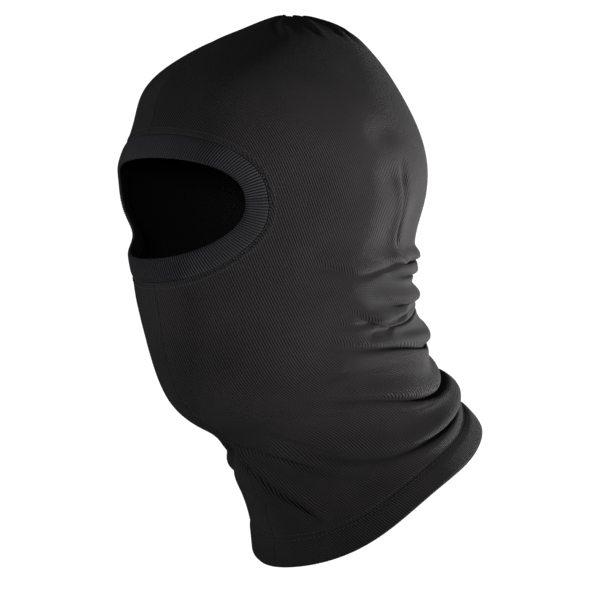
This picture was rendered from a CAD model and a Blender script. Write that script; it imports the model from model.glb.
import math

import bpy
import numpy as np
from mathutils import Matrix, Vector
from mathutils.bvhtree import BVHTree


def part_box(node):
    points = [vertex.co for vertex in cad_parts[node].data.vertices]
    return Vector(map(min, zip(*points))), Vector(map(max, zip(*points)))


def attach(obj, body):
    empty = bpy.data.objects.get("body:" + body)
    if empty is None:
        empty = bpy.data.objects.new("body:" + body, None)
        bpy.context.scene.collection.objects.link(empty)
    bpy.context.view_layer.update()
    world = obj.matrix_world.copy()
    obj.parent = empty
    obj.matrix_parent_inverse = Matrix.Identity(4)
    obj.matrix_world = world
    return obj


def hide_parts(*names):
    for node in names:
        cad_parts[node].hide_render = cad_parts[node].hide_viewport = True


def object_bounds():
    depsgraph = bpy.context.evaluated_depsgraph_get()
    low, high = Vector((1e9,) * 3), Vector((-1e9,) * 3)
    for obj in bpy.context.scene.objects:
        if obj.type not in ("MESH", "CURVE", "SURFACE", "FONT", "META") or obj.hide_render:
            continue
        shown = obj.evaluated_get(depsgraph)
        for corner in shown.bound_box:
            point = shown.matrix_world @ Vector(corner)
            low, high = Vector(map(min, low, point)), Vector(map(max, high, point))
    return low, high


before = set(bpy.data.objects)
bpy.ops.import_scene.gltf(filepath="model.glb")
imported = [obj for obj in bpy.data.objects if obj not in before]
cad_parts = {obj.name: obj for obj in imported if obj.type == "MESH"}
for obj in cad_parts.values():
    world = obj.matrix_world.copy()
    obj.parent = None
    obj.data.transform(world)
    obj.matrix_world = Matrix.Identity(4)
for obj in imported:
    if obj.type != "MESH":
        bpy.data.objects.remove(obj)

MM = 0.001
CAD_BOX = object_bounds()
HOOD = "hood"


# ---------------------------------------------------------------------------------------------
# The room: a level camera to the left of the wearer's face, a grey floor, a white backdrop that gives
# little light, and four soft lamps, the strongest behind the wearer's left ear.

CAMERA_AZIMUTH = math.radians(48)
CAMERA_DISTANCE = 1.285
CAMERA_LENS = 135
AIM_RIGHT = -0.0026
AIM_UP = -0.0049


def srgb(code, alpha=1.0):
    """A colour picker's hex code as linear light."""
    channels = [int(code[i:i + 2], 16) / 255 for i in (1, 3, 5)]
    return tuple(c / 12.92 if c <= 0.04045 else ((c + 0.055) / 1.055) ** 2.4 for c in channels) + (alpha,)


def add_node(tree, kind, settings=None, **inputs):
    """One node with its settings, and its inputs given as values or as sockets to link from.

    An input is named in words, as Base_Color, or by its number, as in0.
    """
    made = tree.nodes.new(kind)
    for name, value in (settings or {}).items():
        setattr(made, name, value)
    for name, value in inputs.items():
        numbered = name.startswith("in") and name[2:].isdigit()
        socket = made.inputs[int(name[2:]) if numbered else name.replace("_", " ")]
        if isinstance(value, bpy.types.NodeSocket):
            tree.links.new(value, socket)
        else:
            socket.default_value = value
    return made


def new_material(name):
    """An empty material: its tree, its surface shader and its output."""
    material = bpy.data.materials.new(name)
    material.use_nodes = True
    tree = material.node_tree
    tree.nodes.clear()
    shader = tree.nodes.new("ShaderNodeBsdfPrincipled")
    output = tree.nodes.new("ShaderNodeOutputMaterial")
    tree.links.new(shader.outputs["BSDF"], output.inputs["Surface"])
    return material, tree, shader


view_right = Vector((math.cos(CAMERA_AZIMUTH), math.sin(CAMERA_AZIMUTH), 0))
view_back = Vector((math.sin(CAMERA_AZIMUTH), -math.cos(CAMERA_AZIMUTH), 0))
hood_low, hood_high = (Vector(corner) for corner in CAD_BOX)
hood_middle = (hood_low + hood_high) / 2
aim = hood_middle + view_right * AIM_RIGHT + Vector((0, 0, AIM_UP))

camera_data = bpy.data.cameras.new("camera")
camera_data.lens = CAMERA_LENS
camera_data.sensor_width = 36
camera_data.clip_end = 60
camera = bpy.data.objects.new("camera", camera_data)
bpy.context.scene.collection.objects.link(camera)
camera.location = aim + view_back * CAMERA_DISTANCE
camera.rotation_euler = (aim - camera.location).to_track_quat("-Z", "Y").to_euler()
bpy.context.scene.camera = camera

# Painted studio floor: matt grey, well below the hem, as the hood is held up by the head.
FLOOR_DROP = 1.1
FLOOR_HALF = 0.9
floor_material, floor_tree, floor_shader = new_material("matt_grey_floor_paint")
floor_shader.inputs["Base Color"].default_value = srgb("#8c8c8c")
floor_shader.inputs["Roughness"].default_value = 0.9
floor_shader.inputs["Specular IOR Level"].default_value = 0.1
floor_mesh = bpy.data.meshes.new("floor")
floor_z = hood_low.z - FLOOR_DROP
floor_corners = [(x * FLOOR_HALF, y * FLOOR_HALF, floor_z) for x, y in ((-1, -1), (1, -1), (1, 1), (-1, 1))]
floor_mesh.from_pydata(floor_corners, [], [(0, 1, 2, 3)])
floor_mesh.materials.append(floor_material)
floor = bpy.data.objects.new("floor", floor_mesh)
bpy.context.scene.collection.objects.link(floor)

# The backdrop looks white, and lights the black cloth no more than a dark studio would.
BACKDROP_SEEN = 1.1
BACKDROP_LIGHT = 0.12
room = bpy.data.worlds.new("white_room")
room.use_nodes = True
room_tree = room.node_tree
backdrop = room_tree.nodes["Background"]
backdrop.inputs["Color"].default_value = srgb("#ffffff")
seen = add_node(room_tree, "ShaderNodeLightPath")
strength = add_node(room_tree, "ShaderNodeMath", {"operation": "MULTIPLY_ADD"},
                    in0=seen.outputs["Is Camera Ray"], in1=BACKDROP_SEEN - BACKDROP_LIGHT, in2=BACKDROP_LIGHT)
room_tree.links.new(strength.outputs["Value"], backdrop.inputs["Strength"])
bpy.context.scene.world = room
bpy.context.scene.view_settings.view_transform = "Standard"


def soft_lamp(name, right, back, up, size, power, spread, aim_up):
    """A square soft box with a grid, placed as the camera sees it: right, towards the camera, up.

    Places and sizes are in metres, power in watts, the beam's spread in degrees.
    """
    data = bpy.data.lights.new(name, "AREA")
    data.size = size
    data.energy = power
    data.spread = math.radians(spread)
    lamp = bpy.data.objects.new(name, data)
    bpy.context.scene.collection.objects.link(lamp)
    lamp.location = hood_middle + view_right * right + view_back * back + Vector((0, 0, up))
    target = hood_middle + Vector((0, 0, aim_up))
    lamp.rotation_euler = (target - lamp.location).to_track_quat("-Z", "Y").to_euler()


soft_lamp("behind_the_ear", 1.35, -1.25, -0.3, 0.3, 1.35, 20, 0.05)
soft_lamp("side", 1.15, 0.5, -0.3, 0.15, 0.7, 20, 0.07)
soft_lamp("chin", -1.0, 0.75, -0.15, 0.3, 0.48, 30, -0.02)
soft_lamp("beside_the_camera", -0.15, 1.6, 0.1, 0.2, 0.06, 16, 0.05)


# ---------------------------------------------------------------------------------------------
# The two side panels: fine rib knit of matt microfibre and elastane, cut in profile, joined down the
# middle and stretched over the head, slack at the nape and the neck.  Their wales run up into the
# crown seam.  The neck edge is turned up inside.

# Centre lines of the girths from the hem to the crown: centre along Y and Z, and tilt.
GIRTHS = {
    "hem": (72.0, -173.5, 31.0),
    "collar": (64.0, -155.0, 31.5),
    "neck": (51.0, -134.0, 31.0),
    "throat": (39.5, -114.0, 30.0),
    "chin": (13.0, -90.5, 25.0),
    "mouth": (5.0, -65.5, 16.0),
    "cheek": (1.0, -35.0, 8.0),
    "eyes": (0.0, -10.0, 2.0),
    "temple": (2.0, 15.0, 0.0),
    "forehead": (3.0, 35.0, 0.0),
    "upper": (2.0, 52.5, 0.0),
    "crown": (5.0, 70.0, 0.0),
    "gather": (9.5, 83.5, 0.0),
    "summit": (13.0, 91.0, 0.0),
    "ridge": (17.0, 95.5, 0.0),
}
SEAM_TOP = (18.5, 97.8, 0.0, 11.5, 0.2)     # the crown seam's own line, where the two panels meet
CLOTH = 1.1                                 # one ply, in millimetres
WALE_PITCH = 1.45                           # rib to rib, as stretched on the head
PANEL_COLUMNS = 150
PANEL_ROWS = 280

GIRTH_CLEARANCE = 0.3                       # each girth is measured this far above its own plane
THROAT_NUMBER = list(GIRTHS).index("throat")
EYES_NUMBER = list(GIRTHS).index("eyes")

cad_vertices, cad_faces = [], []
for name, cad_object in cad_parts.items():
    if name in ("left_panel", "right_panel", "eye_band"):
        first = len(cad_vertices)
        cad_vertices += [vertex.co / MM for vertex in cad_object.data.vertices]
        cad_faces += [[first + i for i in face.vertices] for face in cad_object.data.polygons]
cad_hood = BVHTree.FromPolygons(cad_vertices, cad_faces)


OUTSIDE = 300                               # well outside the hood, in millimetres


def reach(centre, outward):
    """How far the designed hood reaches from a girth's centre in one direction."""
    start = centre + outward * OUTSIDE
    return OUTSIDE - cad_hood.ray_cast(start, -outward)[3]


girth_rows = []
for girth_y, girth_z, tilt in GIRTHS.values():
    lean = math.radians(tilt)
    upright = Vector((0, -math.sin(lean), math.cos(lean)))
    centre = Vector((0, girth_y, girth_z)) + upright * GIRTH_CLEARANCE
    half_length = reach(centre, Vector((0, math.cos(lean), math.sin(lean))))
    half_width = reach(centre, Vector((1, 0, 0)))
    girth_rows.append((girth_y, girth_z, tilt, half_length, half_width))
girth_rows.append(SEAM_TOP)
girth_rows = np.array(girth_rows)
side_points = girth_rows[:, [4, 0, 1]]
side_steps = np.linalg.norm(np.diff(side_points, axis=0), axis=1)
LEVELS = np.concatenate([[0], np.cumsum(side_steps)])   # length up the side of the hood, from the hem
THROAT_LEVEL = LEVELS[THROAT_NUMBER]
EYES_LEVEL = LEVELS[EYES_NUMBER]
TOP = LEVELS[-1]


def spline_slopes(keys, rows):
    """The slopes at the keys of the smooth natural curve through the rows."""
    gaps = np.diff(keys)[:, None]
    rises = np.diff(rows, axis=0) / gaps
    count = len(keys)
    system = np.zeros((count, count))
    wanted = np.zeros_like(rows)
    system[0, 0], system[0, 1], wanted[0] = 2, 1, 3 * rises[0]
    system[-1, -1], system[-1, -2], wanted[-1] = 2, 1, 3 * rises[-1]
    for i in range(1, count - 1):
        before, after = gaps[i - 1, 0], gaps[i, 0]
        system[i, i - 1:i + 2] = after, 2 * (before + after), before
        wanted[i] = 3 * (after * rises[i - 1] + before * rises[i])
    return np.linalg.solve(system, wanted)


GIRTH_SLOPES = spline_slopes(LEVELS, girth_rows)


def girth_at(level):
    """Centre Y, centre Z, tilt, half-length and half-width at any level."""
    level = np.clip(level, 0, TOP)
    step = np.clip(np.searchsorted(LEVELS, level, side="right") - 1, 0, len(LEVELS) - 2)
    width = (LEVELS[step + 1] - LEVELS[step])[..., None]
    t = (level - LEVELS[step])[..., None] / width
    low, high = girth_rows[step], girth_rows[step + 1]
    low_slope, high_slope = GIRTH_SLOPES[step] * width, GIRTH_SLOPES[step + 1] * width
    return ((2 * t ** 3 - 3 * t ** 2 + 1) * low + (t ** 3 - 2 * t ** 2 + t) * low_slope
            + (3 * t ** 2 - 2 * t ** 3) * high + (t ** 3 - t ** 2) * high_slope)


def smooth_point(angle, level):
    """A point of the smooth hood: angle in degrees from the face round the wearer's left, level in mm."""
    rows = girth_at(level)
    turn, lean = np.radians(angle), np.radians(rows[..., 2])
    along = -np.cos(turn) * rows[..., 3]
    return np.stack([
        np.sin(turn) * rows[..., 4],
        rows[..., 0] + along * np.cos(lean),
        rows[..., 1] + along * np.sin(lean),
    ], axis=-1)


def smooth_frame(angle, level):
    """The smooth hood's outward normal and its upward direction along the cloth."""
    small = 0.25
    up_level = np.minimum(level + small, TOP - 0.01)
    down_level = np.maximum(up_level - 2 * small, 0)
    up = smooth_point(angle, up_level) - smooth_point(angle, down_level)
    # near the seam at the top the rows close up, so the round direction is taken a little lower
    round_level = np.minimum(level, TOP - 3)
    around = smooth_point(angle + small, round_level) - smooth_point(angle - small, round_level)
    normal = np.cross(around, up)
    normal /= np.linalg.norm(normal, axis=-1, keepdims=True) + 1e-9
    up /= np.linalg.norm(up, axis=-1, keepdims=True) + 1e-9
    return normal, up


def bell(distance, width):
    """1 in the middle, dying out smoothly on both sides."""
    return np.exp(-(distance / width) ** 2)


def ramp(value, start, end):
    """0 at start and beyond, 1 at end and beyond, smooth between; start may be the larger."""
    t = np.clip((value - start) / (end - start), 0, 1)
    return t * t * (3 - 2 * t)


# Folds of slack cloth: a route of (angle, level) points, and in millimetres the depth of the valley,
# the height of the roll beside it, the width of both, and how far the roll slides over the valley.
# The roll lies left of the way the route runs, so above it when the route runs round to the nape.
FOLDS = [
    ("under_ear", [(95, 154), (140, 144), (180, 142), (235, 150)], 3.4, 3.6, 2.0, 3.0),
    ("jaw_valley", [(68, 157), (90, 147), (112, 146)], 2.4, 1.4, 2.2, 1.2),
    ("nape_pleat", [(98, 144), (135, 133), (180, 128), (245, 142)], 4.6, 3.4, 2.0, 2.6),
    ("nape_shade", [(94, 132), (135, 112), (180, 107), (225, 112)], 3.6, 5.4, 2.6, 3.6),
    ("middle_nape_a", [(80, 131), (125, 100), (180, 92)], 2.8, 2.4, 1.8, 2.2),
    ("middle_nape_b", [(75, 127), (100, 116), (126, 108)], 2.6, 2.0, 1.6, 1.8),
    ("middle_nape_c", [(92, 113), (112, 105)], 1.8, 0.8, 2.2, 0.8),
    ("middle_nape_r", [(205, 100), (240, 112), (284, 133)], 2.6, 2.2, 2.0, 1.8),
    ("low_nape", [(68, 121), (100, 99), (135, 69), (180, 70), (215, 75), (250, 100)], 5.4, 3.4, 2.6, 2.6),
    ("jaw_short", [(58, 109), (78, 95)], 1.8, 0.8, 2.2, 0.6),
    ("collar_roll", [(44, 105), (76, 76), (120, 48), (180, 44), (215, 46), (250, 60), (308, 100)],
     6.0, 2.6, 2.6, 4.0),
    ("crease", [(12, 101), (48, 86), (90, 56), (116, 42)], 1.1, 0.5, 0.9, 0.4),
    ("crease_r", [(244, 44), (300, 84)], 1.1, 0.5, 0.9, 0.4),
    ("crescent", [(20, 88), (45, 60), (84, 36), (130, 26), (212, 27), (256, 31), (312, 57)],
     4.8, 3.8, 3.0, 3.4),
    ("throat_a", [(0, 80), (30, 60), (60, 34)], 4.0, 2.6, 2.4, 1.8),
    ("throat_b", [(-6, 74), (12, 48), (34, 20)], 5.0, 3.2, 2.6, 2.0),
    ("throat_r", [(-58, 32), (-24, 56), (-4, 76)], 2.8, 2.0, 2.8, 1.2),
    ("collar_front", [(-22, 46), (0, 38), (18, 30)], 1.8, 1.6, 3.2, 0.8),
    ("behind_ear", [(145, 143), (112, 157), (113, 184), (105, 214)], 2.6, 1.6, 2.8, 0.2),
    ("behind_ear_r", [(215, 143), (248, 157), (247, 184), (255, 214)], 1.8, 0.4, 3.2, 0.2),
]
# Gathers eased into the crown seam: each starts at the seam and dies out down the side.
GATHERS = [
    ("gather_a", [(30, 330), (44, 306), (56, 282)], 1.0, 1.1, 2.0, 0.0),
    ("gather_b", [(70, 330), (74, 306), (84, 280)], 1.5, 1.4, 1.8, 0.4),
    ("gather_c", [(100, 330), (100, 306), (100, 282)], 1.7, 1.6, 1.8, 0.5),
    ("gather_d", [(122, 330), (116, 306), (113, 284)], 1.8, 1.6, 1.9, 0.5),
    ("gather_e", [(146, 330), (136, 304), (130, 282)], 1.4, 1.3, 2.0, 0.0),
    ("gather_f", [(330, 330), (318, 306), (304, 282)], 1.0, 1.1, 2.0, 0.0),
    ("gather_g", [(290, 330), (286, 306), (276, 280)], 1.4, 1.3, 1.8, 0.0),
    ("gather_h", [(262, 330), (260, 306), (258, 282)], 1.5, 1.4, 1.9, 0.0),
    ("gather_i", [(240, 330), (242, 306), (244, 284)], 1.5, 1.4, 1.9, 0.0),
    ("gather_j", [(214, 330), (224, 304), (228, 282)], 1.2, 1.2, 2.0, 0.0),
]
GATHER_FOOT = 282       # the level at which the gathers have died out
GATHER_FADE = 26        # how far above its foot a gather is at its full depth
ROUTE_STEPS = 5         # short steps from one point of a fold's route to the next
WOBBLE = 0.9            # how far, in millimetres, a fold strays from its smooth route
END_FADE = 0.22         # the share of a fold's route over which it dies out at each end


def smooth_route(route):
    """A fold's route as short steps of one smooth curve through its points."""
    points = np.array([route[0]] + route + [route[-1]], float)
    curve = [points[1]]
    for before, start, end, after in zip(points, points[1:], points[2:], points[3:]):
        for t in np.arange(1, ROUTE_STEPS + 1) / ROUTE_STEPS:
            curve.append(0.5 * (2 * start + (end - before) * t
                                + (2 * before - 5 * start + 4 * end - after) * t ** 2
                                + (3 * start - before - 3 * end + after) * t ** 3))
    return curve


def fold_distance(angle, level, route):
    """Signed distance left of a fold's route, and how far along it, from 0 to 1, each point lies."""
    curve = smooth_route(route)
    steps = list(zip(curve[:-1], curve[1:]))
    nearest = np.full(angle.shape, 1e6)
    signed = np.zeros(angle.shape)
    share = np.zeros(angle.shape)
    radius = girth_at(level)[..., 3:5].mean(axis=-1)
    per_degree = np.radians(np.maximum(radius, 20))
    for number, ((angle_0, level_0), (angle_1, level_1)) in enumerate(steps):
        away = (angle - angle_0 + 180) % 360 - 180
        px, py = away * per_degree, level - level_0
        qx, qy = (angle_1 - angle_0) * per_degree, np.full(angle.shape, level_1 - level_0)
        t = np.clip((px * qx + py * qy) / (qx ** 2 + qy ** 2), 0, 1)
        gap = np.hypot(px - qx * t, py - qy * t)
        closer = gap < nearest
        nearest = np.where(closer, gap, nearest)
        signed = np.where(closer, gap * np.sign(qx * py - qy * px), signed)
        share = np.where(closer, (number + t) / len(steps), share)
    return signed, share


def fold_offsets(angle, level):
    """What the folds do to the smooth hood: lift along the normal, and slide up the cloth."""
    lift = np.zeros(angle.shape)
    slide = np.zeros(angle.shape)
    for number, (name, route, depth, roll, width, overhang) in enumerate(FOLDS + GATHERS):
        gap, share = fold_distance(angle, level, route)
        if number < len(FOLDS):
            gap = gap + WOBBLE * np.sin(11 * share + 2.3 * number)
            fade = ramp(share, 0, END_FADE) * ramp(1 - share, 0, END_FADE)
            fade *= 1 + 0.25 * np.sin(7 * share + 1.7 * number)
        else:
            fade = ramp(level, GATHER_FOOT, GATHER_FOOT + GATHER_FADE)
        lift += fade * (roll * bell(gap - 1.7 * width, 1.6 * width) - depth * bell(gap, width)
                        + 0.5 * overhang * bell(gap + 2.2 * width, 1.8 * width))
        slide -= fade * overhang * bell(gap - 0.9 * width, 1.5 * width)
    return lift, slide


DRAG_PITCH = 9.0
DRAG_HEIGHT = 0.14


def drag_lines(angle, level):
    """Faint drag lines that fan from the jaw to the nape, where the cloth is slack."""
    phase = 2 * math.pi * (level + 0.62 * angle + 2.5 * np.sin(angle / 17)) / DRAG_PITCH
    away = np.abs((angle + 180) % 360 - 180)
    return DRAG_HEIGHT * np.sin(phase) * bell(away - 95, 48) * bell(level - 95, 52)


# The head under the cloth: places where it stands out or falls away, as (angle, level), the size of
# the patch round and up, and the height in millimetres.
FORMS = [
    ("brow_ridge", 0, 236, 12, 30, 1.2),
    ("forehead_flat", 0, 288, 60, 26, -2.8),
    ("crown_front_flat", 330, 310, 60, 15, -2.4),
    ("crown_back_flat", 145, 258, 36, 34, -2.0),
    ("chin_ridge", 0, 122, 12, 18, 1.6),
    ("under_chin", 8, 90, 26, 14, -4.6),
    ("under_jaw", 40, 96, 20, 16, -1.6),
    ("jaw_front_flat", 320, 122, 22, 26, -1.6),
    ("under_jaw_far", 318, 73, 26, 10, -11.5),
    ("far_cheek", 315, 170, 17, 13, -8.2),
    ("near_cheek", 46, 160, 18, 16, -1.4),
    ("far_temple", 311, 222, 18, 20, -6.2),
    ("ear_top", 103, 200, 7, 7, -1.2),
    ("ear_front", 96, 178, 12, 22, 1.4),
    ("behind_ear", 126, 174, 11, 20, -3.2),
    ("ear_front_r", 264, 178, 12, 22, 1.4),
    ("behind_ear_r", 234, 174, 11, 20, -3.2),
    ("nape_hollow", 180, 132, 26, 18, -1.5),
    ("nape_waist", 142, 56, 26, 15, -5.4),
    ("hem_shoulder", 136, 20, 24, 5, -3.0),
    ("nape_waist_r", 218, 58, 26, 15, -3.6),
    ("temple_dimple", 98, 224, 9, 8, -2.4),
    ("collar_back", 140, 2, 30, 10, 3.6),
]
FRONT_SEAM_DEPTH = 0.05
BACK_SEAM_DEPTH = 0.7
SEAM_WIDTH = 1.2
HEM_GROOVE = 16.0                           # level of the groove between the hem's two rows of stitches
HEM_GROOVE_DEPTH = 1.3
HEM_GROOVE_WIDTH = 1.5
HEM_PLUMPNESS = 0.7                         # how far the doubled cloth below the groove stands out
HEM_ROLL = 1.2                              # radius of the fold at the neck edge


def form_offsets(angle, level):
    """The head's own forms, the centre seam's groove, and the hem's groove and rounded edge."""
    lift = np.zeros(angle.shape)
    for name, at_angle, at_level, round_size, up_size, height in FORMS:
        away = (angle - at_angle + 180) % 360 - 180
        lift += height * bell(away, round_size) * bell(level - at_level, up_size)
    from_seam = np.abs(smooth_point(angle, level)[..., 0])
    behind = ramp(np.abs((angle + 180) % 360 - 180), 60, 120)
    seam_depth = FRONT_SEAM_DEPTH + (BACK_SEAM_DEPTH - FRONT_SEAM_DEPTH) * behind
    lift -= seam_depth * bell(from_seam, SEAM_WIDTH)
    lift += drag_lines(angle, level)
    lift -= HEM_GROOVE_DEPTH * bell(level - HEM_GROOVE, HEM_GROOVE_WIDTH)
    lift += HEM_PLUMPNESS * ramp(HEM_GROOVE - level, 1, 5)
    return lift


def edge_rounding(level):
    """How far the fold at the neck edge curls in, over the last millimetre of the outer ply."""
    inset = np.clip(HEM_ROLL - level, 0, HEM_ROLL)
    return np.sqrt(np.maximum(HEM_ROLL ** 2 - inset ** 2, 0)) - HEM_ROLL


HEM_RISE = 3.6
HEM_RIPPLE = 0.5


def hem_wave(angle, level):
    """The neck edge isn't flat: it rides up at each side of the neck, with a slight ripple all round."""
    away = np.abs((angle + 180) % 360 - 180)
    wave = HEM_RISE * bell(away - 86, 28) + HEM_RIPPLE * np.sin(np.radians(angle * 5 + 40))
    return wave * ramp(level, 46, 4)


# The eye opening, from the band's own place in the design.
band_low, band_high = (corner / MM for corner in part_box("eye_band"))
SEAM_HALF_WIDTH = (band_high.x - band_low.x) / 2
SEAM_HALF_HEIGHT = (band_high.z - band_low.z) / 2
EYE_Z = (band_high.z + band_low.z) / 2
BAND_SIDE_WIDTH = 7.0
BAND_WIDTH = 13.0
EYE_HALF_WIDTH = SEAM_HALF_WIDTH - BAND_SIDE_WIDTH
EYE_HALF_HEIGHT = SEAM_HALF_HEIGHT - BAND_WIDTH
EYE_RISE = 4.5                              # the opening's two ends ride up towards the ears
EYE_ROUNDNESS = 2.3                         # 2 would be a true ellipse; the stretched edge is fuller
SIDE_STRETCH = 1.75                         # at the opening's ends the cloth runs back, round the head


def eye_centre(x):
    """Height of the opening's middle line at a distance out from the centre seam."""
    return EYE_Z + EYE_RISE * (np.abs(x) / SEAM_HALF_WIDTH) ** 2.2


def outline_shares(turn):
    """The sideways and upward shares of the opening's outline at a turn round its middle."""
    across, up = np.cos(turn), np.sin(turn)
    power = 2 / EYE_ROUNDNESS
    return np.sign(across) * np.abs(across) ** power, np.sign(up) * np.abs(up) ** power


def eye_ratio(points):
    """1 on the band's seam, less inside it; a point behind the face counts as far outside."""
    x, z = points[..., 0], points[..., 2]
    across, up = np.abs(x / SEAM_HALF_WIDTH), np.abs((z - eye_centre(x)) / SEAM_HALF_HEIGHT)
    ratio = (across ** EYE_ROUNDNESS + up ** EYE_ROUNDNESS) ** (1 / EYE_ROUNDNESS)
    return np.where(points[..., 1] < 0, ratio, 9.0)


def eye_gap(points):
    """Distance outside the band's seam, in millimetres, near enough for shaping the cloth."""
    ratio = eye_ratio(points)
    x, z = points[..., 0], points[..., 2]
    turn = np.arctan2((z - eye_centre(x)) / SEAM_HALF_HEIGHT, x / SEAM_HALF_WIDTH)
    side_share = np.cos(turn) ** 2
    scale = SEAM_HALF_HEIGHT * (1 - side_share) + SEAM_HALF_WIDTH * SIDE_STRETCH * side_share
    return (ratio - 1) * scale


def find_on_front(x, z):
    """The angle and level of the smooth hood's point that shows at x and z from the front."""
    level = np.full(np.shape(x), EYES_LEVEL)
    angle = np.zeros(np.shape(x))
    for _ in range(40):
        rows = girth_at(level)
        angle = np.degrees(np.arcsin(np.clip(x / rows[..., 4], -0.999, 0.999)))
        level = np.clip(level + 0.8 * (z - smooth_point(angle, level)[..., 2]), 0, TOP)
    return angle, level


LABEL_LEVEL = 34        # level of the care label inside the nape
LABEL_HOLD = 17         # how far round, in degrees, and up, in mm, the label keeps the folds away
LABEL_HOLD_UP = 26
BAND_DITCH = 0.7        # the panels dip along the band's seam and swell a little just outside it
BAND_SWELL = 0.25


def worn_point(angle, level, lift=0.0, edge=True):
    """A point of the worn hood's outer face, or a distance proud of it."""
    base = smooth_point(angle, level)
    normal, up = smooth_frame(angle, level)
    fold_lift, slide = fold_offsets(angle, level)
    gap = eye_gap(base)
    # the folds die out towards the band, and where the label holds the cloth flat inside the nape
    label_hold = bell(np.abs(angle - 180), LABEL_HOLD) * bell(level - LABEL_LEVEL, LABEL_HOLD_UP)
    calm = ramp(gap, -2, 14) * (1 - label_hold)
    height = fold_lift * calm + form_offsets(angle, level)
    height += BAND_SWELL * bell(gap - 3.0, 2.0) - BAND_DITCH * bell(gap, 0.9)
    if edge:
        height += edge_rounding(level)
    upward = slide * calm + hem_wave(angle, level)
    return base + normal * (height + lift)[..., None] + up * upward[..., None]


MAP_UNIT = 0.01         # one millimetre of cloth on the knit's map


def mesh_piece(name, points, faces, uv=None):
    """A smooth-shaded mesh object from points in millimetres, with an optional map in millimetres."""
    mesh = bpy.data.meshes.new(name)
    mesh.from_pydata((np.asarray(points).reshape(-1, 3) * MM).tolist(), [], faces)
    if uv is not None:
        layer = mesh.uv_layers.new(name="knit")
        corners = np.zeros(len(mesh.loops), int)
        mesh.loops.foreach_get("vertex_index", corners)
        layer.data.foreach_set("uv", (np.asarray(uv)[corners] * MAP_UNIT).astype(np.float32).ravel())
    mesh.polygons.foreach_set("use_smooth", [True] * len(mesh.polygons))
    mesh.update()
    piece = bpy.data.objects.new(name, mesh)
    bpy.context.scene.collection.objects.link(piece)
    return piece


def plain_mesh(piece):
    """Turn a piece and its modifiers into one plain mesh."""
    bpy.context.view_layer.update()
    depsgraph = bpy.context.evaluated_depsgraph_get()
    done = bpy.data.meshes.new_from_object(piece.evaluated_get(depsgraph))
    piece.modifiers.clear()
    old = piece.data
    piece.data = done
    bpy.data.meshes.remove(old)
    return piece


def give_thickness(piece, thickness):
    """Cloth of one thickness, in millimetres, laid inside the modelled face."""
    solid = piece.modifiers.new("ply", "SOLIDIFY")
    solid.thickness = thickness * MM
    solid.offset = -1
    solid.use_even_offset = False
    solid.use_quality_normals = True
    return plain_mesh(piece)


# The wales stay straight up the flat panel while the head's girths turn under them, so up the worn
# hood they lean forward.
WALE_LEAN = -0.54


def wale_shift(level):
    """How far round, in millimetres, the wales have moved at a level."""
    return WALE_LEAN * (level - THROAT_LEVEL)


def panel_grid(side):
    """Angles and levels of one panel's grid, the left for side 1 and the right for side -1."""
    turns = np.linspace(0, 180, PANEL_COLUMNS + 1)
    ups = TOP * (1 - (1 - np.linspace(0, 1, PANEL_ROWS + 1)) ** 1.06)
    angle, level = np.meshgrid(turns, ups)
    return (angle if side > 0 else 360 - angle), level


def make_panel(name, side):
    """One side panel with the eye opening cut out of it, one ply thick."""
    angle, level = panel_grid(side)
    smooth = smooth_point(angle, level)
    rows, columns = angle.shape
    ratio = eye_ratio(smooth)
    middle = (ratio[:-1, :-1] + ratio[1:, :-1] + ratio[:-1, 1:] + ratio[1:, 1:]) / 4
    kept = middle > 1
    touches_kept = np.zeros((rows, columns), bool)
    touches_cut = np.zeros((rows, columns), bool)
    for dr in (0, 1):
        for dc in (0, 1):
            touches_kept[dr:rows - 1 + dr, dc:columns - 1 + dc] |= kept
            touches_cut[dr:rows - 1 + dr, dc:columns - 1 + dc] |= ~kept
    edge = touches_kept & touches_cut
    # the ring of points round the hole is drawn onto the seam's own ellipse
    edge_x = smooth[edge][:, 0] / ratio[edge]
    edge_z = eye_centre(edge_x) + (smooth[edge][:, 2] - eye_centre(smooth[edge][:, 0])) / ratio[edge]
    edge_angle, edge_level = find_on_front(edge_x, edge_z)
    angle[edge] = edge_angle % 360 if side < 0 else edge_angle
    if side < 0:
        angle[edge] = np.where(angle[edge] < 90, angle[edge] + 360, angle[edge])
    level[edge] = edge_level
    points = worn_point(angle, level)
    # the two panels' edges meet exactly in the middle
    points[:, [0, -1], 0] = 0.0

    steps = np.linalg.norm(np.diff(smooth, axis=1), axis=2)
    across = np.concatenate([np.zeros((rows, 1)), np.cumsum(steps, axis=1)], axis=1)
    half_way = columns // 2
    across -= across[:, half_way:half_way + 1]
    across -= wale_shift(level[:, half_way:half_way + 1])
    rises = np.linalg.norm(np.diff(smooth, axis=0), axis=2)
    along = np.concatenate([np.zeros((1, columns)), np.cumsum(rises, axis=0)], axis=0)
    uv = np.stack([across, along], axis=-1).reshape(-1, 2)

    number = -np.ones(rows * columns, int)
    used = touches_kept.ravel()
    number[used] = np.arange(used.sum())
    faces = []
    for r, c in zip(*np.nonzero(kept)):
        corners = (r * columns + c, r * columns + c + 1, (r + 1) * columns + c + 1, (r + 1) * columns + c)
        face = [int(number[i]) for i in corners]
        faces.append(face if side > 0 else face[::-1])
    panel = mesh_piece(name, points.reshape(-1, 3)[used], faces, uv[used])
    return give_thickness(panel, CLOTH)


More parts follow.
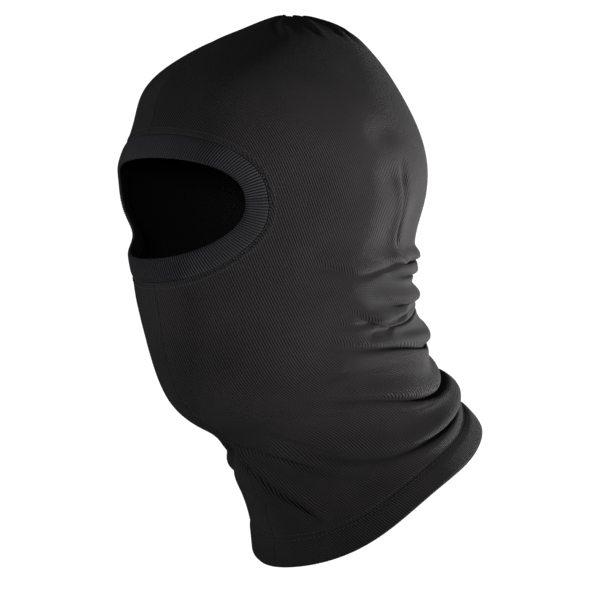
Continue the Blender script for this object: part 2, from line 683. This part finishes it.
# Microfibre and elastane rib knit: dull near-black yarn with a faint bloom at grazing angles, in fine
# rounded wales 1.45 mm apart, with short loops along each wale and no gloss.
KNIT_BLACK = "#262425"
KNIT_VALLEY = "#070707"
KNIT_BLOOM = "#8d8d92"
COURSE_PITCH = 1.3        # one loop along a wale, drawn coarser than a real one so that it can be seen
YARN_WANDER = 0.3         # how far a wale strays sideways
FUZZ_SIZE = 0.35
LOOP_LEAN = 2.2           # how far, in radians, the loops' wave shifts at the top of a wale
LOOP_HEIGHT = 0.12        # loops and fuzz as shares of the wale's own height
FUZZ_HEIGHT = 0.35


def rib_knit(name, pitch, relief, yarn, valley):
    """Rounded wales with loops along them: pitch and relief in millimetres, yarn and valley colours."""
    material, tree, shader = new_material(name)
    knit_map = add_node(tree, "ShaderNodeUVMap", {"uv_map": "knit"})
    parts = add_node(tree, "ShaderNodeSeparateXYZ", Vector=knit_map.outputs["UV"])
    flecks = add_node(tree, "ShaderNodeTexNoise", Vector=knit_map.outputs["UV"], Scale=26.0,
                      Detail=3.0, Roughness=0.6)
    wander = add_node(tree, "ShaderNodeMath", {"operation": "MULTIPLY_ADD"},
                      in0=flecks.outputs["Fac"], in1=YARN_WANDER * MAP_UNIT, in2=parts.outputs["X"])
    phase = add_node(tree, "ShaderNodeMath", {"operation": "MULTIPLY"},
                     in0=wander.outputs["Value"], in1=math.pi / (pitch * MAP_UNIT))
    wave = add_node(tree, "ShaderNodeMath", {"operation": "SINE"}, in0=phase.outputs["Value"])
    wale = add_node(tree, "ShaderNodeMath", {"operation": "ABSOLUTE"}, in0=wave.outputs["Value"])
    loop_phase = add_node(tree, "ShaderNodeMath", {"operation": "MULTIPLY"},
                          in0=parts.outputs["Y"], in1=2 * math.pi / (COURSE_PITCH * MAP_UNIT))
    lean = add_node(tree, "ShaderNodeMath", {"operation": "MULTIPLY_ADD"},
                    in0=wale.outputs["Value"], in1=LOOP_LEAN, in2=loop_phase.outputs["Value"])
    loops = add_node(tree, "ShaderNodeMath", {"operation": "SINE"}, in0=lean.outputs["Value"])
    height = add_node(tree, "ShaderNodeMath", {"operation": "MULTIPLY_ADD"},
                      in0=loops.outputs["Value"], in1=LOOP_HEIGHT, in2=wale.outputs["Value"])
    fuzz = add_node(tree, "ShaderNodeTexNoise", Vector=knit_map.outputs["UV"],
                    Scale=1.0 / (FUZZ_SIZE * MAP_UNIT), Detail=2.0, Roughness=0.7)
    full = add_node(tree, "ShaderNodeMath", {"operation": "MULTIPLY_ADD"},
                    in0=fuzz.outputs["Fac"], in1=FUZZ_HEIGHT, in2=height.outputs["Value"])
    bump = add_node(tree, "ShaderNodeBump", Strength=1.0, Distance=relief * MM, Height=full.outputs["Value"])
    tree.links.new(bump.outputs["Normal"], shader.inputs["Normal"])
    place = add_node(tree, "ShaderNodeTexCoord")
    cloud = add_node(tree, "ShaderNodeTexNoise", Vector=place.outputs["Object"], Scale=22.0, Detail=2.0)
    yarn_mix = add_node(tree, "ShaderNodeMix", {"data_type": "RGBA"}, Factor=wale.outputs["Value"])
    yarn_mix.inputs["A"].default_value = srgb(valley)
    yarn_mix.inputs["B"].default_value = srgb(yarn)
    tone = add_node(tree, "ShaderNodeMapRange", Value=cloud.outputs["Fac"])
    tone.inputs["From Min"].default_value = 0.3
    tone.inputs["From Max"].default_value = 0.7
    tone.inputs["To Min"].default_value = 0.8
    tone.inputs["To Max"].default_value = 1.2
    shade = add_node(tree, "ShaderNodeVectorMath", {"operation": "SCALE"})
    tree.links.new(yarn_mix.outputs["Result"], shade.inputs[0])
    tree.links.new(tone.outputs["Result"], shade.inputs["Scale"])
    tree.links.new(shade.outputs["Vector"], shader.inputs["Base Color"])
    shader.inputs["Roughness"].default_value = 0.85
    shader.inputs["Specular IOR Level"].default_value = 0.06
    shader.inputs["Sheen Weight"].default_value = 0.05
    shader.inputs["Sheen Roughness"].default_value = 0.4
    shader.inputs["Sheen Tint"].default_value = srgb(KNIT_BLOOM)
    return material


panel_knit = rib_knit("microfibre_rib_knit", WALE_PITCH, 0.42, KNIT_BLACK, KNIT_VALLEY)
for panel_name, side in (("left_panel", 1), ("right_panel", -1)):
    panel = make_panel(f"{panel_name}_cloth", side)
    panel.data.materials.append(panel_knit)
    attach(panel, HOOD)
    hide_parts(panel_name)


# ---------------------------------------------------------------------------------------------
# The eye band: one strip of firmer rib knit folded in half along its length, its raw edges
# overlocked to the panels inside.  Its ribs stand square to the opening's edge.

BAND_RIB_PITCH = 1.45
BAND_RIB_HEIGHT = 0.55
COLUMNS_PER_RIB = 8


def band_place(turn, share, lift):
    """A point of the band: turn round the opening, share 0 at its seam to 1 at its edge, and lift."""
    half_x = SEAM_HALF_WIDTH + (EYE_HALF_WIDTH - SEAM_HALF_WIDTH) * share
    half_z = SEAM_HALF_HEIGHT + (EYE_HALF_HEIGHT - SEAM_HALF_HEIGHT) * share
    across, upward = outline_shares(turn)
    x = half_x * across
    angle, level = find_on_front(x, eye_centre(x) + half_z * upward)
    base = smooth_point(angle, level)
    normal, up = smooth_frame(angle, level)
    return base + normal * (lift + form_offsets(angle, level))[..., None]


turns = np.linspace(0, 2 * math.pi, 1200, endpoint=False)
middle_line = band_place(turns, np.full(turns.shape, 0.5), np.zeros(turns.shape))
steps = np.linalg.norm(middle_line - np.roll(middle_line, 1, axis=0), axis=1)
walked = np.concatenate([[0], np.cumsum(steps[1:])])
BAND_ROUND = steps.sum()
RIB_COUNT = round(BAND_ROUND / BAND_RIB_PITCH)
band_columns = RIB_COUNT * COLUMNS_PER_RIB
even_turns = np.interp(np.arange(band_columns) * BAND_ROUND / band_columns, walked, turns)

# Across the band: out of the seam's ditch, over the plump outer ply, round the fold, and back inside.
band_profile = [
    (0.00, -1.9), (0.00, -0.9), (0.02, -0.2), (0.07, 0.3), (0.16, 0.6), (0.30, 0.8), (0.42, 0.85),
    (0.54, 0.9), (0.66, 0.9), (0.78, 0.85), (0.88, 0.7), (0.95, 0.4), (0.99, -0.1), (1.00, -0.7),
    (0.97, -1.25), (0.90, -1.6), (0.70, -1.8), (0.45, -1.9), (0.20, -1.95),
]
shares = np.array([share for share, _ in band_profile])
lifts = np.array([lift for _, lift in band_profile])
rib_phase = np.arange(band_columns) * 2 * math.pi / COLUMNS_PER_RIB
rib_wave = np.sqrt(0.5 + 0.5 * np.cos(rib_phase)) - 0.5
outer_ply = ramp(lifts, -1.2, 0.4)
turn_grid, share_grid = np.meshgrid(even_turns, shares)
lift_grid = lifts[:, None] + BAND_RIB_HEIGHT * outer_ply[:, None] * rib_wave[None, :]
band_points = band_place(turn_grid, share_grid, lift_grid)
band_rows = len(shares)
band_faces = []
for r in range(band_rows):
    for c in range(band_columns):
        r2, c2 = (r + 1) % band_rows, (c + 1) % band_columns
        band_faces.append((r * band_columns + c, r * band_columns + c2,
                           r2 * band_columns + c2, r2 * band_columns + c))
across_band = np.concatenate([[0], np.cumsum(np.abs(np.diff(shares)) * BAND_WIDTH + 0.3)])
band_uv = np.stack([
    np.tile(np.arange(band_columns) / COLUMNS_PER_RIB * BAND_RIB_PITCH + BAND_RIB_PITCH / 2, (band_rows, 1)),
    np.tile(across_band[:, None], (1, band_columns)),
], axis=-1).reshape(-1, 2)
eye_band = mesh_piece("eye_band_rib", band_points, band_faces, band_uv)
band_knit = rib_knit("folded_rib_trim", BAND_RIB_PITCH, 0.20, "#2a292c", "#060606")
eye_band.data.materials.append(band_knit)
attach(eye_band, HOOD)
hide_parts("eye_band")


# ---------------------------------------------------------------------------------------------
# The hem: the panels' own cloth turned up once inside the neck edge, as a second ply that ends a
# little above the hem's two rows of stitches.

TURN_UP = 20.0
TURN_STEP = 1.75
turn_columns = 300
turn_angles = np.linspace(0, 360, turn_columns, endpoint=False)
turn_profile = [(0.0, -HEM_ROLL)]
turn_profile += [
    (HEM_ROLL - HEM_ROLL * math.cos(math.radians(a)), -HEM_ROLL - HEM_ROLL * math.sin(math.radians(a)))
    for a in (30, 60, 90)]
turn_profile += [(up, -2 * HEM_ROLL) for up in np.arange(2.5, TURN_UP + 0.1, TURN_STEP)]
turn_levels = np.array([up for up, _ in turn_profile])
turn_lifts = np.array([lift for _, lift in turn_profile])
turn_angle_grid, turn_level_grid = np.meshgrid(turn_angles, turn_levels)
turn_points = worn_point(turn_angle_grid, turn_level_grid, turn_lifts[:, None], edge=False)
turn_rows = len(turn_profile)
turn_faces = [
    (r * turn_columns + c, (r + 1) * turn_columns + c,
     (r + 1) * turn_columns + (c + 1) % turn_columns, r * turn_columns + (c + 1) % turn_columns)
    for r in range(turn_rows - 1) for c in range(turn_columns)]
girth_mm = np.linalg.norm(np.diff(turn_points[0], axis=0), axis=1).sum()
turn_uv = np.stack([turn_angle_grid / 360 * girth_mm, turn_level_grid], axis=-1).reshape(-1, 2)
hem_turn_up = mesh_piece("hem_turn_up_cloth", turn_points, turn_faces, turn_uv)
hem_turn_up = give_thickness(hem_turn_up, CLOTH)
hem_turn_up.data.materials.append(panel_knit)
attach(hem_turn_up, HOOD)
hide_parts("hem_turn_up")


# ---------------------------------------------------------------------------------------------
# Sewing: textured polyester thread.  The band has two rows of fine topstitching outside its seam, the
# hem has a twin-needle stitch with a looper thread inside, and the centre seams and the band's seam
# are overlocked inside.

THREAD_BLACK = "#2b2a2d"


def polyester_thread(name, colour):
    """Textured polyester: dull filaments twisted together, a little smoother than the knit."""
    material, tree, shader = new_material(name)
    place = add_node(tree, "ShaderNodeTexCoord")
    twist = add_node(tree, "ShaderNodeTexNoise", Vector=place.outputs["Object"], Scale=4500.0, Detail=1.0)
    bump = add_node(tree, "ShaderNodeBump", Strength=0.4, Distance=0.0001, Height=twist.outputs["Fac"])
    tree.links.new(bump.outputs["Normal"], shader.inputs["Normal"])
    shader.inputs["Base Color"].default_value = srgb(colour)
    shader.inputs["Roughness"].default_value = 0.6
    shader.inputs["Specular IOR Level"].default_value = 0.12
    return material


thread_black = polyester_thread("textured_polyester_thread", THREAD_BLACK)


def path_object(name, points, normals, closed):
    """A line of points in millimetres that carries the cloth's normal, for a row of stitches to follow."""
    count = len(points)
    edges = [(i, i + 1) for i in range(count - 1)] + ([(count - 1, 0)] if closed else [])
    mesh = bpy.data.meshes.new(name)
    mesh.from_pydata((np.asarray(points) * MM).tolist(), edges, [])
    attribute = mesh.attributes.new("cloth_normal", "FLOAT_VECTOR", "POINT")
    attribute.data.foreach_set("vector", np.asarray(normals, np.float32).ravel())
    path = bpy.data.objects.new(name, mesh)
    bpy.context.scene.collection.objects.link(path)
    return path


def new_node_group(name, inputs):
    """A Geometry Nodes group with a geometry socket each way and named inputs for its sizes."""
    group = bpy.data.node_groups.new(name, "GeometryNodeTree")
    group.interface.new_socket("Geometry", in_out="INPUT", socket_type="NodeSocketGeometry")
    group.interface.new_socket("Geometry", in_out="OUTPUT", socket_type="NodeSocketGeometry")
    for label, kind, value in inputs:
        socket = group.interface.new_socket(label, in_out="INPUT", socket_type=kind)
        if value is not None:
            socket.default_value = value
    return group, group.nodes.new("NodeGroupInput"), group.nodes.new("NodeGroupOutput")


def straight_stitch_group():
    """Short raised stitches laid end to end along a path, each sinking into the cloth at its ends."""
    group, given, result = new_node_group("straight_stitches", [
        ("Stitch Pitch", "NodeSocketFloat", 0.0025), ("Stitch Length", "NodeSocketFloat", 0.002),
        ("Thread Radius", "NodeSocketFloat", 0.0003), ("Thread", "NodeSocketMaterial", None)])
    sizes = given.outputs
    curve = add_node(group, "GeometryNodeMeshToCurve", Mesh=sizes["Geometry"])
    spaced = add_node(group, "GeometryNodeResampleCurve", {"mode": "LENGTH"},
                      Curve=curve.outputs["Curve"], Length=sizes["Stitch Pitch"])
    bead = add_node(group, "GeometryNodeMeshUVSphere", Segments=8, Rings=5, Radius=1.0)
    half = add_node(group, "ShaderNodeMath", {"operation": "MULTIPLY"}, in0=sizes["Stitch Length"], in1=0.5)
    flat = add_node(group, "ShaderNodeMath", {"operation": "MULTIPLY"}, in0=sizes["Thread Radius"], in1=0.8)
    size = add_node(group, "ShaderNodeCombineXYZ", X=half.outputs["Value"], Y=sizes["Thread Radius"],
                    Z=flat.outputs["Value"])
    tangent = add_node(group, "GeometryNodeInputTangent")
    cloth_normal = add_node(group, "GeometryNodeInputNamedAttribute", {"data_type": "FLOAT_VECTOR"},
                            Name="cloth_normal")
    along = add_node(group, "FunctionNodeAlignRotationToVector", {"axis": "X"},
                     Vector=tangent.outputs["Tangent"])
    upright = add_node(group, "FunctionNodeAlignRotationToVector", {"axis": "Z", "pivot_axis": "X"},
                       Rotation=along.outputs["Rotation"], Vector=cloth_normal.outputs["Attribute"])
    stitches = add_node(group, "GeometryNodeInstanceOnPoints", Points=spaced.outputs["Curve"],
                        Instance=bead.outputs["Mesh"], Rotation=upright.outputs["Rotation"],
                        Scale=size.outputs["Vector"])
    real = add_node(group, "GeometryNodeRealizeInstances", Geometry=stitches.outputs["Instances"])
    smooth = add_node(group, "GeometryNodeSetShadeSmooth", Geometry=real.outputs["Geometry"])
    painted = add_node(group, "GeometryNodeSetMaterial", Geometry=smooth.outputs["Geometry"],
                       Material=sizes["Thread"])
    group.links.new(painted.outputs["Geometry"], result.inputs["Geometry"])
    return group


def looping_thread_group():
    """One thread that crosses from side to side of a path, as a looper or overlock thread does."""
    group, given, result = new_node_group("looping_thread", [
        ("Stitch Pitch", "NodeSocketFloat", 0.0025), ("Loop Width", "NodeSocketFloat", 0.003),
        ("Thread Radius", "NodeSocketFloat", 0.0002), ("Thread", "NodeSocketMaterial", None)])
    sizes = given.outputs
    curve = add_node(group, "GeometryNodeMeshToCurve", Mesh=sizes["Geometry"])
    half_pitch = add_node(group, "ShaderNodeMath", {"operation": "MULTIPLY"},
                          in0=sizes["Stitch Pitch"], in1=0.5)
    spaced = add_node(group, "GeometryNodeResampleCurve", {"mode": "LENGTH"},
                      Curve=curve.outputs["Curve"], Length=half_pitch.outputs["Value"])
    tangent = add_node(group, "GeometryNodeInputTangent")
    cloth_normal = add_node(group, "GeometryNodeInputNamedAttribute", {"data_type": "FLOAT_VECTOR"},
                            Name="cloth_normal")
    sideways = add_node(group, "ShaderNodeVectorMath", {"operation": "CROSS_PRODUCT"},
                        in0=tangent.outputs["Tangent"], in1=cloth_normal.outputs["Attribute"])
    number = add_node(group, "GeometryNodeInputIndex")
    odd = add_node(group, "ShaderNodeMath", {"operation": "MODULO"}, in0=number.outputs["Index"], in1=2.0)
    sign = add_node(group, "ShaderNodeMath", {"operation": "SUBTRACT"}, in0=odd.outputs["Value"], in1=0.5)
    swing = add_node(group, "ShaderNodeMath", {"operation": "MULTIPLY"},
                     in0=sign.outputs["Value"], in1=sizes["Loop Width"])
    offset = add_node(group, "ShaderNodeVectorMath", {"operation": "SCALE"},
                      in0=sideways.outputs["Vector"], Scale=swing.outputs["Value"])
    moved = add_node(group, "GeometryNodeSetPosition", Geometry=spaced.outputs["Curve"],
                     Offset=offset.outputs["Vector"])
    section = add_node(group, "GeometryNodeCurvePrimitiveCircle", {"mode": "RADIUS"}, Resolution=6,
                       Radius=sizes["Thread Radius"])
    tube = add_node(group, "GeometryNodeCurveToMesh", Curve=moved.outputs["Geometry"],
                    Profile_Curve=section.outputs["Curve"])
    tube.inputs["Fill Caps"].default_value = True
    real = add_node(group, "GeometryNodeRealizeInstances", Geometry=tube.outputs["Mesh"])
    smooth = add_node(group, "GeometryNodeSetShadeSmooth", Geometry=real.outputs["Geometry"])
    painted = add_node(group, "GeometryNodeSetMaterial", Geometry=smooth.outputs["Geometry"],
                       Material=sizes["Thread"])
    group.links.new(painted.outputs["Geometry"], result.inputs["Geometry"])
    return group


STRAIGHT_STITCHES = straight_stitch_group()
LOOPING_THREAD = looping_thread_group()


def sew(name, group, line, **sizes):
    """Stitches along one line of (points, normals, closed), as one plain mesh."""
    row = path_object(name, *line)
    modifier = row.modifiers.new("stitches", "NODES")
    modifier.node_group = group
    for item in group.interface.items_tree:
        if item.item_type == "SOCKET" and item.in_out == "INPUT" and item.name != "Geometry":
            modifier[item.identifier] = sizes[item.name.replace(" ", "_").lower()]
    return plain_mesh(row)


def line_on_hood(angles, levels, lift):
    """A line along the worn cloth and the cloth's normals there."""
    normals, _ = smooth_frame(angles, levels)
    return worn_point(angles, levels, lift), normals


SIDE_FORESHORTENING = 0.62      # at the opening's ends the cloth has half turned to the side


def line_round_eye(gap, lift):
    """A closed line round the eye opening, a distance outside the band's seam."""
    turn = np.linspace(0, 2 * math.pi, 360, endpoint=False)
    across, upward = outline_shares(turn)
    x = (SEAM_HALF_WIDTH + gap * SIDE_FORESHORTENING) * across
    angles, levels = find_on_front(x, eye_centre(x) + (SEAM_HALF_HEIGHT + gap) * upward)
    points, normals = line_on_hood(angles, levels, lift)
    return points, normals, True


def fit_thread(piece, node):
    """Every row of stitches rides with the hood and takes the place of its own designed thread."""
    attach(piece, HOOD)
    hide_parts(node)


# Each row of topstitching: its distance outside the band's seam, and its lift off the cloth.
for row_name, node, gap, lift in (
        ("band_topstitch_inner", "eye_band_topstitch_inner_row", 0.5, 0.05),
        ("band_topstitch_outer", "eye_band_topstitch_outer_row", 3.0, -0.05)):
    row = sew(row_name, STRAIGHT_STITCHES, line_round_eye(gap, lift), stitch_pitch=1.9 * MM,
              stitch_length=1.6 * MM, thread_radius=0.22 * MM, thread=thread_black)
    fit_thread(row, node)

overlock = sew("band_overlock", LOOPING_THREAD, line_round_eye(1.8, -CLOTH - 0.5), stitch_pitch=2.2 * MM,
               loop_width=3.6 * MM, thread_radius=0.28 * MM, thread=thread_black)
fit_thread(overlock, "eye_band_overlock_thread")

# The join of the strip's two ends crosses the lower middle of the band, inside.
JOIN_STEPS = 12
join_points = band_place(np.full(JOIN_STEPS, -math.pi / 2), np.linspace(0.12, 0.9, JOIN_STEPS),
                         np.full(JOIN_STEPS, -2.15))
join_line = (join_points, np.tile([0.0, 1.0, 0.0], (JOIN_STEPS, 1)), False)
band_join = sew("band_join", LOOPING_THREAD, join_line, stitch_pitch=2.0 * MM, loop_width=2.6 * MM,
                thread_radius=0.25 * MM, thread=thread_black)
fit_thread(band_join, "eye_band_join_thread")

LOWER_ROW_LEVEL = 14.7
UPPER_ROW_LEVEL = 17.6
LOOPER_LIFT = -3.7                  # behind both plies
hem_angles = np.linspace(0, 360, 420, endpoint=False)
for row_name, node, row_level in (("hem_stitch_lower", "hem_lower_needle_thread", LOWER_ROW_LEVEL),
                                  ("hem_stitch_upper", "hem_upper_needle_thread", UPPER_ROW_LEVEL)):
    row_line = (*line_on_hood(hem_angles, np.full(hem_angles.shape, row_level), 0.12), True)
    row = sew(row_name, STRAIGHT_STITCHES, row_line, stitch_pitch=2.5 * MM, stitch_length=1.9 * MM,
              thread_radius=0.22 * MM, thread=thread_black)
    fit_thread(row, node)
looper_line = (*line_on_hood(hem_angles, np.full(hem_angles.shape, HEM_GROOVE + 0.4), LOOPER_LIFT), True)
looper = sew("hem_looper", LOOPING_THREAD, looper_line, stitch_pitch=2.5 * MM, loop_width=3.4 * MM,
             thread_radius=0.25 * MM, thread=thread_black)
fit_thread(looper, "hem_looper_thread")

# The centre seams: the panels' overlocked edges, pressed flat against the cloth inside.
SEAM_START = TURN_UP + 2            # above the turned-up ply
SEAM_SUMMIT = TOP - 4
BROW_END = 218                      # the seams stop at the eye band, above and below the opening
CHIN_END = 136
SEAM_LIFT = -CLOTH - 0.6
nape_levels = np.linspace(SEAM_START, SEAM_SUMMIT, 300)
nape_points, nape_normals = line_on_hood(np.full(nape_levels.shape, 180.0), nape_levels, SEAM_LIFT)
brow_levels = np.linspace(SEAM_SUMMIT, BROW_END, 90)
brow_points, brow_normals = line_on_hood(np.zeros(brow_levels.shape), brow_levels, SEAM_LIFT)
crown_line = (np.concatenate([nape_points, brow_points]), np.concatenate([nape_normals, brow_normals]), False)
chin_levels = np.linspace(SEAM_START, CHIN_END, 150)
chin_line = (*line_on_hood(np.zeros(chin_levels.shape), chin_levels, SEAM_LIFT), False)
for seam_name, node, seam_line in (("crown_and_nape_overlock", "crown_and_nape_seam_thread", crown_line),
                                   ("chin_overlock", "chin_seam_thread", chin_line)):
    seam = sew(seam_name, LOOPING_THREAD, seam_line, stitch_pitch=2.2 * MM, loop_width=5.0 * MM,
               thread_radius=0.35 * MM, thread=thread_black)
    fit_thread(seam, node)


# ---------------------------------------------------------------------------------------------
# The care label: a blank strip of woven satin tape, sewn by its top edge inside the nape, so that it
# swings about that edge.  The stitches that hold it keep their designed shape.

LABEL_WHITE = "#c9c8c4"
LABEL_TAPE = 0.35                   # thickness of the tape
LABEL_BOW = 0.9                     # how far the free end bows in the middle


def satin_tape(name):
    """Woven polyester satin: fine ribs across the tape and a soft gleam."""
    material, tree, shader = new_material(name)
    place = add_node(tree, "ShaderNodeTexCoord")
    floats = add_node(tree, "ShaderNodeTexWave", {"wave_type": "BANDS", "bands_direction": "Z"},
                      Vector=place.outputs["Object"], Scale=900.0, Distortion=1.0, Detail=1.0)
    bump = add_node(tree, "ShaderNodeBump", Strength=0.3, Distance=0.00005, Height=floats.outputs["Fac"])
    tree.links.new(bump.outputs["Normal"], shader.inputs["Normal"])
    shader.inputs["Base Color"].default_value = srgb(LABEL_WHITE)
    shader.inputs["Roughness"].default_value = 0.45
    shader.inputs["Sheen Weight"].default_value = 0.2
    return material


label_low, label_high = (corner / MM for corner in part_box("care_label"))
label_columns, label_rows = 24, 20
u_grid, v_grid = np.meshgrid(np.linspace(0, 1, label_columns + 1), np.linspace(0, 1, label_rows + 1))
label_x = label_low.x + (label_high.x - label_low.x) * u_grid
label_z = label_high.z - (label_high.z - label_low.z) * v_grid
label_y = (label_low.y + label_high.y) / 2 + LABEL_BOW * v_grid ** 2 * np.cos((u_grid - 0.5) * math.pi)
label_faces = [
    (r * (label_columns + 1) + c, (r + 1) * (label_columns + 1) + c,
     (r + 1) * (label_columns + 1) + c + 1, r * (label_columns + 1) + c + 1)
    for r in range(label_rows) for c in range(label_columns)]
label = mesh_piece("blank_care_label", np.stack([label_x, label_y, label_z], axis=-1), label_faces)
label = give_thickness(label, LABEL_TAPE)
label.data.materials.append(satin_tape("woven_satin_tape"))
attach(label, "label")
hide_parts("care_label")
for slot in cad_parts["care_label_stitches"].material_slots:
    slot.material = thread_black
